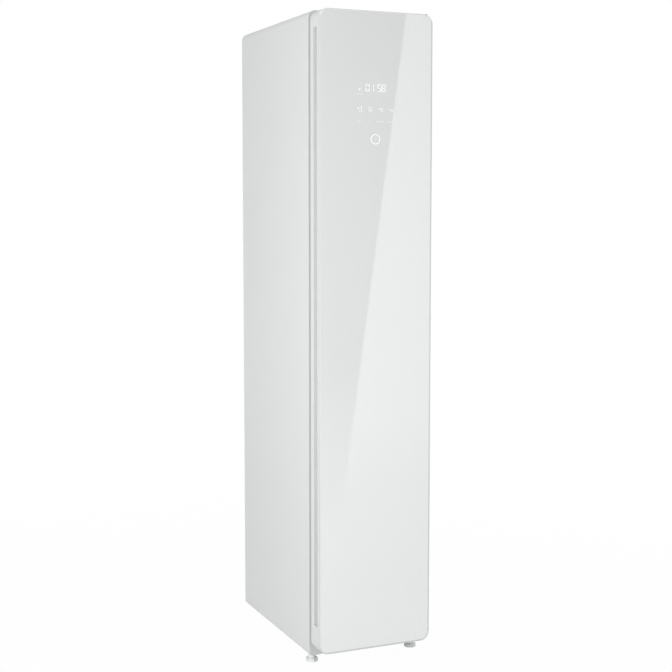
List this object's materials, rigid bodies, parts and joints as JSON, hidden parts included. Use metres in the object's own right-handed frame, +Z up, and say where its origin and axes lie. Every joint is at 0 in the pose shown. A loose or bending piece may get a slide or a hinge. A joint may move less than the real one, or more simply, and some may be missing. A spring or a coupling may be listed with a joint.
{
  "type": "clothes care steam cabinet",
  "caption": "Tall narrow white steel cabinet with a glass-fronted hinged door, a steam and heat-pump unit, a moving hanger and lift-out water tanks.",
  "frame": {"origin": "on the floor under the middle of the cabinet's bounding box", "axes": "+X to the right seen from the front, the door faces -Y, +Z up"},
  "size_m": [0.348, 0.625, 1.85],
  "materials": {
    "casing_enamel": "satin white enamel",
    "galvanised_steel": "galvanised",
    "white_abs": "fine moulded grain",
    "grip_abs": "fine moulded grain",
    "white_glass": "white back-painted, polished",
    "gasket_rubber": "matt",
    "black_rubber": "matt",
    "honeycomb_board": "kraft honeycomb core",
    "insulation_felt": "pressed polyester felt",
    "circuit_board": "solder mask",
    "plated_magnet": "nickel plated",
    "polished_steel": "polished",
    "grey_nylon": "moulded",
    "motor_steel": "drawn steel",
    "black_enamel": "gloss black",
    "coil_aluminium": "mill finish",
    "copper": "drawn copper",
    "boiler_aluminium": "die cast",
    "lamp_lens": "opal diffuser",
    "grey_abs": "fine moulded grain",
    "tank_plastic": "translucent",
    "lid_plastic": "moulded",
    "black_plastic": "moulded",
    "foot_plastic": "moulded"
  },
  "bodies": {
    "cabinet": {"air_outlet_grille": "grey_abs", "base_moulding": "white_abs", "base_pan": "galvanised_steel", "chamber_lamp": "lamp_lens", "chamber_liner": "white_abs", "compressor": "black_enamel", "compressor_mounts": "black_rubber", "condenser_coil": "coil_aluminium", "control_board": "circuit_board", "drive_motor": "motor_steel", "evaporator_coil": "coil_aluminium", "fan_housing": "grey_nylon", "fan_motor": "motor_steel", "feed_pump": "motor_steel", "front_frame": "white_abs", "guide_rods": "polished_steel", "hinge_pins": "polished_steel", "hinge_screws": "polished_steel", "insulation_boards": "insulation_felt", "lower_hinge_bracket": "galvanised_steel", "outer_wrap": "casing_enamel", "power_inlet": "black_plastic", "rear_duct": "grey_nylon", "rear_panel": "casing_enamel", "rear_screws": "polished_steel", "refrigerant_pipes": "copper", "steam_generator": "boiler_aluminium", "steam_hose": "black_rubber", "steam_nozzle": "grey_nylon", "strike_plates": "galvanised_steel", "top_tray": "galvanised_steel", "upper_hinge_bracket": "galvanised_steel", "water_pipes": "grey_nylon"},
    "door": {"door_glass": "white_glass", "door_frame": "white_abs", "door_grip": "grip_abs", "door_inner_panel": "white_abs", "door_gasket": "gasket_rubber", "door_core": "honeycomb_board", "display_board": "circuit_board", "door_magnets": "plated_magnet", "hinge_bushes": "grey_nylon"},
    "hanger": {"hanger_carriage": "grey_nylon", "hanger_bar": "polished_steel"},
    "crank": {"crank_disc": "polished_steel"},
    "blower": {"fan_wheel": "grey_nylon"},
    "water_tank": {"water_tank": "tank_plastic"},
    "water_tank_lid": {"water_tank_lid": "lid_plastic"},
    "drain_tank": {"drain_tank": "tank_plastic"},
    "drain_tank_lid": {"drain_tank_lid": "lid_plastic"},
    "lint_filter": {"lint_filter": "grey_abs"},
    "garment_shelf": {"garment_shelf": "grey_abs"},
    "front_left_foot_stem": {"front_left_foot_stem": "foot_plastic"},
    "front_left_foot_pad": {"front_left_foot_pad": "foot_plastic"},
    "front_right_foot_stem": {"front_right_foot_stem": "foot_plastic"},
    "front_right_foot_pad": {"front_right_foot_pad": "foot_plastic"},
    "rear_left_foot_stem": {"rear_left_foot_stem": "foot_plastic"},
    "rear_left_foot_pad": {"rear_left_foot_pad": "foot_plastic"},
    "rear_right_foot_stem": {"rear_right_foot_stem": "foot_plastic"},
    "rear_right_foot_pad": {"rear_right_foot_pad": "foot_plastic"}
  },
  "joints": [
    {"name": "door_hinge", "type": "hinge", "parent": "cabinet", "child": "door", "pos_m": [0.154, -0.2835, 0.925], "axis": [0, 0, 1], "range_deg": [0, 110]},
    {"name": "hanger_slide", "type": "slide", "parent": "cabinet", "child": "hanger", "axis": [1, 0, 0], "range_m": [-0.0073, 0.0073]},
    {"name": "crank_turn", "type": "hinge", "parent": "cabinet", "child": "crank", "pos_m": [0, 0.01125, 1.7365], "axis": [0, 0, 1], "range_deg": [-45, 45]},
    {"name": "fan_spin", "type": "hinge", "parent": "cabinet", "child": "blower", "pos_m": [0, 0.1775, 0.3575], "axis": [0, 0, 1], "continuous": true},
    {"name": "water_tank_lift", "type": "slide", "parent": "cabinet", "child": "water_tank", "axis": [0, 0, 1], "range_m": [0, 0.24]},
    {"name": "water_tank_lid_lift", "type": "slide", "parent": "water_tank", "child": "water_tank_lid", "axis": [0, 0, 1], "range_m": [0, 0.03]},
    {"name": "drain_tank_lift", "type": "slide", "parent": "cabinet", "child": "drain_tank", "axis": [0, 0, 1], "range_m": [0, 0.24]},
    {"name": "drain_tank_lid_lift", "type": "slide", "parent": "drain_tank", "child": "drain_tank_lid", "axis": [0, 0, 1], "range_m": [0, 0.03]},
    {"name": "lint_filter_lift", "type": "slide", "parent": "cabinet", "child": "lint_filter", "axis": [0, 0, 1], "range_m": [0, 0.1]},
    {"name": "shelf_lift", "type": "slide", "parent": "cabinet", "child": "garment_shelf", "axis": [0, 0, 1], "range_m": [0, 0.06]},
    {"name": "front_left_foot_screw", "type": "slide", "parent": "cabinet", "child": "front_left_foot_stem", "axis": [0, 0, -1], "range_m": [0, 0.018]},
    {"name": "front_left_foot_turn", "type": "hinge", "parent": "front_left_foot_stem", "child": "front_left_foot_pad", "pos_m": [-0.1585, -0.2175, 0.005], "axis": [0, 0, -1], "range_deg": [0, 4325]},
    {"name": "front_right_foot_screw", "type": "slide", "parent": "cabinet", "child": "front_right_foot_stem", "axis": [0, 0, -1], "range_m": [0, 0.018]},
    {"name": "front_right_foot_turn", "type": "hinge", "parent": "front_right_foot_stem", "child": "front_right_foot_pad", "pos_m": [0.1585, -0.2175, 0.005], "axis": [0, 0, -1], "range_deg": [0, 4325]},
    {"name": "rear_left_foot_screw", "type": "slide", "parent": "cabinet", "child": "rear_left_foot_stem", "axis": [0, 0, -1], "range_m": [0, 0.018]},
    {"name": "rear_left_foot_turn", "type": "hinge", "parent": "rear_left_foot_stem", "child": "rear_left_foot_pad", "pos_m": [-0.13, 0.2743, 0.005], "axis": [0, 0, -1], "range_deg": [0, 4325]},
    {"name": "rear_right_foot_screw", "type": "slide", "parent": "cabinet", "child": "rear_right_foot_stem", "axis": [0, 0, -1], "range_m": [0, 0.018]},
    {"name": "rear_right_foot_turn", "type": "hinge", "parent": "rear_right_foot_stem", "child": "rear_right_foot_pad", "pos_m": [0.13, 0.2743, 0.005], "axis": [0, 0, -1], "range_deg": [0, 4325]}
  ],
  "couplings": [
    {"joint": "crank_turn", "follows": "hanger_slide", "rad_per_m": -107.5},
    {"joint": "front_left_foot_turn", "follows": "front_left_foot_screw", "rad_per_m": 4188.8},
    {"joint": "front_right_foot_turn", "follows": "front_right_foot_screw", "rad_per_m": 4188.8},
    {"joint": "rear_left_foot_turn", "follows": "rear_left_foot_screw", "rad_per_m": 4188.8},
    {"joint": "rear_right_foot_turn", "follows": "rear_right_foot_screw", "rad_per_m": 4188.8}
  ]
}
